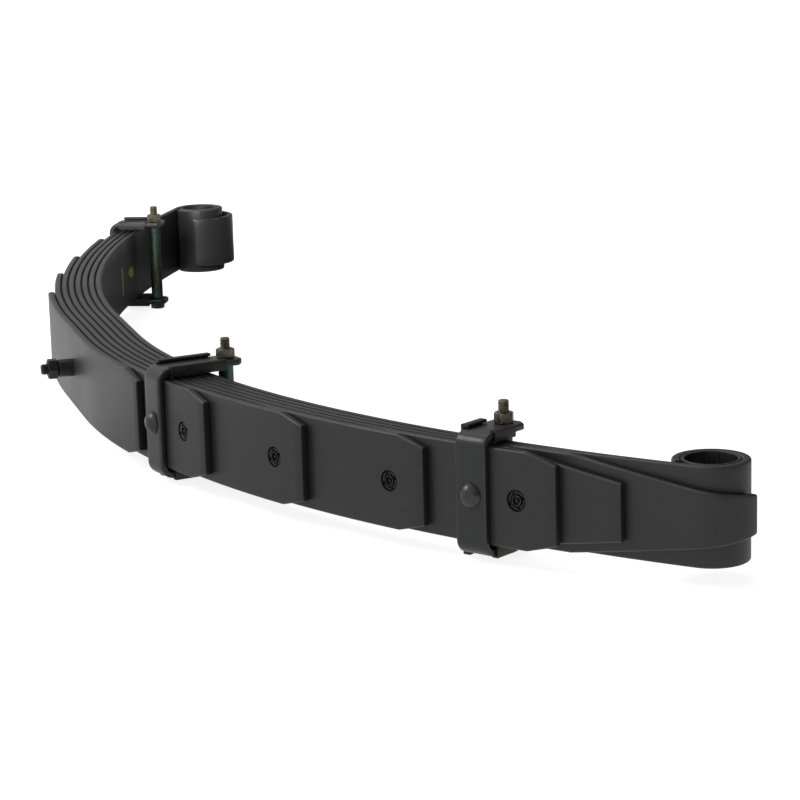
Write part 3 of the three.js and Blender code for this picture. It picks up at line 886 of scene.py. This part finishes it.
def make_sleeve(side, arm):
    """A strip rolled to a tube, with its seam left open and its rims eased."""
    outer = EYE_RADIUS - LEAF_THICKNESS - FIT
    inner = outer - SLEEVE_WALL
    ease = SLEEVE_EASE
    gap = SLEEVE_SEAM / 2 / outer
    steps = SLEEVE_STEPS
    profile = [(inner + ease, 0.0), (outer - ease, 0.0), (outer, ease), (outer, LEAF_WIDTH - ease),
               (outer - ease, LEAF_WIDTH), (inner + ease, LEAF_WIDTH), (inner, LEAF_WIDTH - ease),
               (inner, ease)]
    verts = []
    for i in range(steps + 1):
        turn = gap + (2 * math.pi - 2 * gap) * i / steps
        verts.extend((r * math.cos(turn), r * math.sin(turn), z) for r, z in profile)
    ring = len(profile)
    faces = []
    for i in range(steps):
        for j in range(ring):
            a = i * ring + j
            b = i * ring + (j + 1) % ring
            faces.append((a, b, b + ring, a + ring))
    faces.append(tuple(range(ring)))
    faces.append(tuple(range(steps * ring, (steps + 1) * ring)))
    centre = eye_centre(arm)
    fixed_piece(f"sleeve_{side}", f"eye_sleeve_{side}", (verts, faces),
                TO_ROW @ Matrix.Translation(centre), SLEEVE, f"{side}_eye")


for side, arm, tips, wrap in ARMS:
    make_sleeve(side, arm)


# ---------------------------------------------------------------- centre bolt

DOWEL_RADIUS = 7.6
DOWEL_LENGTH = 13.0
DOWEL_SEAT = 2.0
DOWEL_EASE = 0.8
CENTRE_ACROSS = 16.0
CENTRE_NUT_HEIGHT = 8.4
CENTRE_HEAD_HEIGHT = 6.4
CENTRE_PROJECTION = 5.6
CENTRE_RADIUS = 5.0
CENTRE_PITCH = 1.5
PACK_DEPTH = MAIN_Y + HALF


def make_centre_bolt():
    axis = TO_ROW @ Matrix.Translation((0, 0, MID)) @ Matrix.Rotation(math.pi / 2, 4, "X")
    nut_low = DOWEL_LENGTH + 2 * FIT
    nut_high = nut_low + CENTRE_NUT_HEIGHT
    tip = nut_high + CENTRE_PROJECTION
    head_high = -PACK_DEPTH - FIT
    head = hex_body(CENTRE_ACROSS, head_high - CENTRE_HEAD_HEIGHT, head_high, True, False)
    rod = threaded_rod(CENTRE_RADIUS, head_high - HEAD_OVERLAP, tip, CENTRE_PITCH, nut_low)
    fixed_piece("centre_bolt_body", "centre_bolt", joined(head, rod), axis, BOLT_BLACK,
                "leaf_pack")
    nut = hex_body(CENTRE_ACROSS, nut_low, nut_high, True, True, bore=CENTRE_RADIUS + 0.15)
    fixed_piece("centre_nut_body", "centre_nut", nut, axis @ Matrix.Rotation(math.radians(30), 4, "Z"),
                BOLT_BLACK, "leaf_pack")
    foot = FIT - DOWEL_SEAT
    top = FIT + DOWEL_LENGTH
    profile = [(CENTRE_RADIUS + FIT, foot), (DOWEL_RADIUS, foot), (DOWEL_RADIUS, top - DOWEL_EASE),
               (DOWEL_RADIUS - DOWEL_EASE, top), (CENTRE_RADIUS + FIT, top)]
    dowel = turned(profile, segments=64, closed=True)
    fixed_piece("centre_dowel_body", "centre_dowel", dowel, axis, BOLT_BLACK,
                "leaf_pack")


make_centre_bolt()


# ---------------------------------------------------------------- rebound clamps
# Clamp frame: +X is the convex normal, +Y runs along the pack, +Z the leaf width.

STRAP_EDGE_RADIUS = 1.5
STRAP_LEAD = 6.0
STRAP_LEG_STEPS = 6
STRAP_BEND_STEPS = 14


def strap_sections(face, end_x):
    """The U of the strap from one clipped end to the other, as cross-sections."""
    radius = STRAP_BEND + STRAP_THICKNESS / 2
    bend_x = face - STRAP_BEND
    high = LEG_INNER - STRAP_BEND
    leg = LEG_INNER + STRAP_THICKNESS / 2
    wide = STRAP_WIDTH / 2
    upper = [(end_x + back, leg, 90.0, wide - STRAP_CLIP, inset)
             for back, inset in reversed(END_ROUND)]
    upper += [(end_x + STRAP_CLIP + past, leg, 90.0, wide, 0.0) for past in (0.0, 1.0)]
    run_up = bend_x - end_x - STRAP_LEAD
    upper += [(end_x + STRAP_LEAD + run_up * i / STRAP_LEG_STEPS, leg, 90.0, wide, 0.0)
              for i in range(STRAP_LEG_STEPS)]
    for i in range(STRAP_BEND_STEPS + 1):
        angle = 90.0 * (1 - i / STRAP_BEND_STEPS)
        reach = math.radians(angle)
        upper.append((bend_x + radius * math.cos(reach), high + radius * math.sin(reach), angle,
                      wide, 0.0))
    upper += [(bend_x + radius, high - (high - MID) * i / 3, 0.0, wide, 0.0) for i in (1, 2)]
    lower = [(x, LEAF_WIDTH - z, -angle, half, inset) for x, z, angle, half, inset in reversed(upper)]
    middle = [(bend_x + radius, MID, 0.0, wide, 0.0)]
    sections = []
    run = 0.0
    before = None
    for x, z, angle, half, inset in upper + middle + lower:
        point = Vector((x, 0.0, z))
        run += (point - before).length if before else 0.0
        before = point
        normal = Vector((math.cos(math.radians(angle)), 0.0, math.sin(math.radians(angle))))
        sections.append((point, normal, Vector((0.0, 1.0, 0.0)), half, inset, run))
    return sections


def strap_outline(half_width, inset):
    radius = STRAP_EDGE_RADIUS - inset * INSET_SHARE
    return rounded_bar(half_width - inset, STRAP_THICKNESS / 2 - inset, radius)


def prism(outline, start, end):
    """An outline of (y, z) points drawn along local X."""
    count = len(outline)
    verts = [(x, y, z) for x in (start, end) for y, z in outline]
    faces = [(i, (i + 1) % count, count + (i + 1) % count, count + i) for i in range(count)]
    faces.append(tuple(range(count)))
    faces.append(tuple(range(count, 2 * count)))
    return verts, faces


def bent_sheet(corners, radius=0.7, thickness=LINER_SHEET):
    """A folded sheet's outline from the points of its middle line, with eased folds and lips."""
    points = [Vector((y, z)) for y, z in corners]
    left = []
    right = []
    for i, point in enumerate(points):
        back = (point - points[i - 1]).normalized() if i else None
        ahead = (points[i + 1] - point).normalized() if i < len(points) - 1 else None
        if back is None or ahead is None:
            way = ahead if back is None else back
            side = Vector((-way.y, way.x)) * thickness / 2
            tuck = way * (radius if back is None else -radius)
            rounded = [(point + side * s + tuck, point + side * s * 0.45) for s in (1, -1)]
            if back is None:
                left.extend(reversed(rounded[0]))
                right.extend(reversed(rounded[1]))
            else:
                left.extend(rounded[0])
                right.extend(rounded[1])
            continue
        bisector = Vector((-(back.y + ahead.y), back.x + ahead.x)).normalized()
        reach = thickness / 2 / max(0.3, bisector.dot(Vector((-back.y, back.x))))
        turning = back.x * ahead.y - back.y * ahead.x
        for side, store in ((1, left), (-1, right)):
            corner = point + bisector * reach * side
            if turning * side < 0:
                store.extend((corner - back * radius, corner - (back - ahead) * radius * 0.3,
                              corner + ahead * radius))
            else:
                store.append(corner)
    return [tuple(p) for p in left + right[::-1]]


def make_liner(clamp, matrix, face, bolt_x, lower):
    """C-channel on a leg: web by the leaf edges, walls beside the strap, lips over it."""
    half = LINER_SHEET / 2
    wall = STRAP_WIDTH / 2 + FIT + half
    web = LEG_INNER - FIT - half
    start = face - STRAP_BEND - FIT
    end = bolt_x + TUBE_RADIUS + FIT
    near_lip = LEG_OUTER + NEAR_LIP["rise"]
    near = bent_sheet([(0.0, web), (wall, web), (wall, near_lip),
                       (wall - NEAR_LIP["length"], near_lip)], NEAR_LIP["fold"], NEAR_LIP["sheet"])
    far_lip = LEG_OUTER + FIT + half + FAR_LIP["rise"]
    far = bent_sheet([(0.0, web), (-wall, web), (-wall, far_lip), (FAR_LIP["length"] - wall, far_lip)])
    far_end = start + (end - start) * FAR_WALL_SHARE
    part = joined(prism(near, start, end), prism(far, start, far_end))
    flip = Matrix.Identity(4)
    if lower:
        middle = Matrix.Translation((0, 0, MID))
        flip = middle @ Matrix.Scale(-1, 4, Vector((0, 0, 1))) @ middle.inverted()
    name = f"{clamp['name']}_{'lower' if lower else 'upper'}_liner"
    fixed_piece(f"{name}_channel", name, part, matrix @ flip, LINER, clamp["body"])


def make_rivet(clamp, matrix, face):
    seat = face + STRAP_THICKNESS
    radius = RIVET_RADIUS
    height = RIVET_HEIGHT
    dome = (radius ** 2 + height ** 2) / (2 * height)
    edge = math.asin(radius / dome)
    foot = seat - RIVET_SINK
    profile = [(0.0, foot), (RIVET_SHANK, foot), (RIVET_SHANK, seat),
               (radius - RIVET_RIM, seat + RIVET_CREVICE), (radius, seat + RIVET_RIM)]
    steps = 14
    for i in range(1, steps + 1):
        angle = edge * (1 - i / steps)
        rise = dome * math.cos(angle) - (dome - height)
        lift = RIVET_RIM + rise * (height - RIVET_RIM) / height
        profile.append((dome * math.sin(angle), seat + lift))
    profile[-1] = (0.0, seat + height)
    part = turned(profile, segments=56)
    axis = matrix @ Matrix.Translation((0, 0, MID)) @ Matrix.Rotation(math.pi / 2, 4, "Y")
    name = f"{clamp['name']}_rivet"
    fixed_piece(f"{name}_head", name, part, axis, RIVET_PAINT, clamp["body"])


def make_clamp_bolt(clamp, matrix, bolt_x):
    axis = matrix @ Matrix.Translation((bolt_x, 0, 0))
    head_high = LEAF_WIDTH - LEG_OUTER
    nut_low = LEG_OUTER + FIT / 3
    nut_high = nut_low + CLAMP_NUT_HEIGHT
    tip = LEG_OUTER + FIT + CLAMP_NUT_HEIGHT + CLAMP_PROJECTION
    head = hex_body(CLAMP_ACROSS, head_high - FIT - CLAMP_HEAD_HEIGHT, head_high, True, False)
    rod = threaded_rod(CLAMP_BOLT_RADIUS, head_high - HEAD_OVERLAP, tip, CLAMP_PITCH, nut_low)
    name = clamp["name"]
    fixed_piece(f"{name}_bolt_body", f"{name}_bolt", joined(head, rod), axis, ZINC_BOLT,
                clamp["body"])
    nut = hex_body(CLAMP_ACROSS, nut_low, nut_high, True, True, bore=CLAMP_BOLT_RADIUS + 0.1)
    fixed_piece(f"{name}_nut_body", f"{name}_nut", nut, axis, ZINC_NUT,
                clamp["body"])
    low = LEAF_WIDTH - LEG_INNER
    ease = 0.5
    inner = CLAMP_BOLT_RADIUS + 0.5
    profile = [(inner, low), (TUBE_RADIUS - ease, low), (TUBE_RADIUS, low + ease),
               (TUBE_RADIUS, LEG_INNER - ease), (TUBE_RADIUS - ease, LEG_INNER), (inner, LEG_INNER)]
    tube = turned(profile, segments=48, closed=True)
    fixed_piece(f"{name}_tube_body", f"{name}_spacer_tube", tube, axis, ZINC_TUBE,
                clamp["body"])


def make_clamp(clamp):
    matrix = station_matrix(clamp["arm"], clamp["station"])
    face = leaf_offset(clamp["leaf"]) + HALF + FIT
    bolt_x = -(HALF + clamp["stand_off"] + TUBE_RADIUS)
    verts, faces, uvs, wear = loft(strap_sections(face, bolt_x - STRAP_END_MARGIN), strap_outline)
    name = f"{clamp['name']}_strap"
    fixed_piece(f"{name}_bar", name, (verts, faces), matrix, STRAP_PAINT, clamp["body"],
                uvs, wear)
    make_rivet(clamp, matrix, face)
    make_clamp_bolt(clamp, matrix, bolt_x)
    for lower in (False, True):
        make_liner(clamp, matrix, face, bolt_x, lower)


for clamp in CLAMPS:
    make_clamp(clamp)


# ---------------------------------------------------------------- paint marks on the main leaf

MARK_FOOT = 0.02
MARK_RISE = 0.12
BAR_PLACE = 446.5
BAR_LOW = 17.0
BAR_HIGH = 46.0
BAR_WIDTH = 8.0
BAR_STEPS = 12
DAB_PATH = [(481.0, 34.0), (486.0, 33.7), (491.0, 33.2), (496.0, 32.6), (501.0, 32.2), (505.0, 31.8)]
DAB_THIN = 3.0
DAB_SWELL = 8.5


def mark_strip(name, path, width_at):
    """A thin stroke of paint on the concave face; path points are (station, height)."""
    verts = []
    faces = [(0, 1, 3, 2)]
    count = len(path)
    for i, (station, height) in enumerate(path):
        before = path[max(0, i - 1)]
        after = path[min(count - 1, i + 1)]
        way = Vector((after[0] - before[0], after[1] - before[1])).normalized()
        side = Vector((-way.y, way.x)) * width_at(i / count) / 2
        for lift in (MARK_FOOT, MARK_RISE):
            for sign in (1, -1):
                point, normal = frame_at(FRONT, station + side.x * sign)
                on_face = point - normal * (HALF + lift)
                verts.append(Vector((on_face.x, on_face.y, height + side.y * sign)))
    for a in range(0, 4 * (count - 1), 4):
        for p, q in ((0, 1), (1, 3), (3, 2), (2, 0)):
            faces.append((a + p, a + q, a + q + 4, a + p + 4))
    faces.append(tuple(4 * count - corner for corner in (4, 3, 1, 2)))
    piece = make_piece(name, verts, faces, TO_ROW, MARKER)
    bend_with_arm(piece, FRONT)


def dab_width(share):
    return DAB_THIN + DAB_SWELL * math.sin(math.pi * min(1.0, share * 1.05)) ** 1.5


bar_heights = [BAR_LOW + (BAR_HIGH - BAR_LOW) * i / BAR_STEPS for i in range(BAR_STEPS + 1)]
mark_strip("paint_bar", [(BAR_PLACE, height) for height in bar_heights], lambda share: BAR_WIDTH)
mark_strip("paint_dab", DAB_PATH, dab_width)


# ---------------------------------------------------------------- floor, light and camera

FLOOR_SIZE = 30.0
ARCH_CENTRE = (-0.05, 0.825, 0.0)
ARCH_RADIUS = 0.966
ARCH_EDGE = (ARCH_RADIUS - 0.01, ARCH_RADIUS + 0.05)
FLOOR_GREY = (0.7, 0.7, 0.7, 1.0)
FLOOR_LIFT = 0.84
BOUNCE_REACH = 0.8
BOUNCE_INSIDE_SPAN = (-0.5, 0.45)
BOUNCE_INSIDE = (0.09, 0.7)
BOUNCE_OUTSIDE = ((-0.3, 0.92), (-0.15, 0.96), (0.0, 0.86), (0.1, 0.6), (0.3, 0.54), (0.8, 0.72))


def studio_floor():
    """Pale floor: near white to the eye, while as a light on the part it is strongest behind the
    centre bolt, weaker under the rear arm and weakest inside the arch, like a flagged set."""
    material = bpy.data.materials.new("floor_pale")
    material.use_nodes = True
    tree = material.node_tree
    tree.nodes.clear()
    place = add_node(tree, "ShaderNodeTexCoord", {}).outputs["Object"]
    along = add_node(tree, "ShaderNodeSeparateXYZ", {"Vector": place}).outputs["X"]
    way = add_node(tree, "ShaderNodeVectorMath", {0: place, 1: ARCH_CENTRE}, operation="SUBTRACT")
    reach = add_node(tree, "ShaderNodeVectorMath", {0: way.outputs["Vector"]}, operation="LENGTH")
    stops = [((x + BOUNCE_REACH) / (2 * BOUNCE_REACH), (strength,) * 3)
             for x, strength in BOUNCE_OUTSIDE]
    outside = colour_ramp(tree, map_range(tree, along, -BOUNCE_REACH, BOUNCE_REACH, 0.0, 1.0), stops)
    inside = map_range(tree, along, *BOUNCE_INSIDE_SPAN, *BOUNCE_INSIDE)
    strength = map_range(tree, reach.outputs["Value"], *ARCH_EDGE, inside, outside)
    bounce = add_node(tree, "ShaderNodeEmission", {"Strength": strength}).outputs[0]
    diffuse = add_node(tree, "ShaderNodeBsdfDiffuse", {"Color": FLOOR_GREY}).outputs[0]
    lift = add_node(tree, "ShaderNodeEmission", {"Strength": FLOOR_LIFT}).outputs[0]
    seen = add_node(tree, "ShaderNodeAddShader", {0: diffuse, 1: lift}).outputs[0]
    path = add_node(tree, "ShaderNodeLightPath", {}).outputs["Is Camera Ray"]
    mixed = add_node(tree, "ShaderNodeMixShader", {0: path, 1: bounce, 2: seen}).outputs[0]
    add_node(tree, "ShaderNodeOutputMaterial", {"Surface": mixed})
    return material


floor_mesh = bpy.data.meshes.new("floor")
half_floor = FLOOR_SIZE / 2
floor_mesh.from_pydata([(-half_floor, -half_floor, 0), (half_floor, -half_floor, 0),
                        (half_floor, half_floor, 0), (-half_floor, half_floor, 0)], [], [(0, 1, 2, 3)])
floor_mesh.materials.append(studio_floor())
floor = bpy.data.objects.new("floor", floor_mesh)
bpy.context.collection.objects.link(floor)

SKY_BRIGHT = 0.66
SKY_DIM = 0.1
SKY_BRIGHT_SIDE = (-0.25, -0.968, 0.0)
SKY_FADE = 0.45


def studio_world():
    """White behind the part; as light, bright on the convex side and dim on the concave side."""
    world = bpy.data.worlds.new("studio")
    world.use_nodes = True
    tree = world.node_tree
    background = tree.nodes["Background"]
    place = add_node(tree, "ShaderNodeTexCoord", {}).outputs["Generated"]
    towards = add_node(tree, "ShaderNodeVectorMath", {0: place, 1: SKY_BRIGHT_SIDE},
                       operation="DOT_PRODUCT").outputs["Value"]
    lit = map_range(tree, towards, -SKY_FADE, SKY_FADE, SKY_DIM, SKY_BRIGHT,
                    interpolation_type="SMOOTHSTEP")
    path = add_node(tree, "ShaderNodeLightPath", {}).outputs["Is Camera Ray"]
    pick = add_node(tree, "ShaderNodeMix", {"Factor": path, "A": lit, "B": 1.0})
    tree.links.new(pick.outputs["Result"], background.inputs["Strength"])
    background.inputs["Color"].default_value = (1.0, 1.0, 1.0, 1.0)
    bpy.context.scene.world = world


studio_world()


def softbox(name, place, target, size, power, spread=180.0):
    data = bpy.data.lights.new(name, "AREA")
    data.shape = "RECTANGLE"
    data.size, data.size_y = size
    data.energy = power
    data.spread = math.radians(spread)
    lamp = bpy.data.objects.new(name, data)
    bpy.context.collection.objects.link(lamp)
    lamp.location = place
    way = Vector(target) - Vector(place)
    lamp.rotation_euler = way.to_track_quat("-Z", "Y").to_euler()


softbox("key", (-0.6, -2.4, 2.4), (0.1, 0.0, 0.0), (1.4, 1.0), 29.0)
softbox("top", (-0.9, 0.0, 2.8), (0.0, 0.0, 0.0), (1.6, 1.2), 7.0)
softbox("eye_fill", (0.35, -0.4, 0.42), (-0.66, 0.09, 0.06), (0.25, 0.25), 0.2, spread=16.0)

CAMERA_PLACE = (2.23745, -0.49877, 0.50649)
YAW = 0.27588
PITCH_DOWN = 0.21782
ROLL = -0.02646
SENSOR_WIDTH = 36.0
LENS = 118.126
camera_data = bpy.data.cameras.new("camera")
camera = bpy.data.objects.new("camera", camera_data)
bpy.context.collection.objects.link(camera)
camera.location = CAMERA_PLACE
view_way = Vector((-math.cos(YAW) * math.cos(PITCH_DOWN), math.sin(YAW) * math.cos(PITCH_DOWN),
                   -math.sin(PITCH_DOWN)))
level = view_way.to_track_quat("-Z", "Y")
camera.rotation_euler = (level @ Quaternion((0, 0, 1), ROLL)).to_euler()
camera_data.sensor_width = SENSOR_WIDTH
camera_data.lens = LENS
bpy.context.scene.camera = camera
bpy.context.scene.view_settings.view_transform = "Standard"
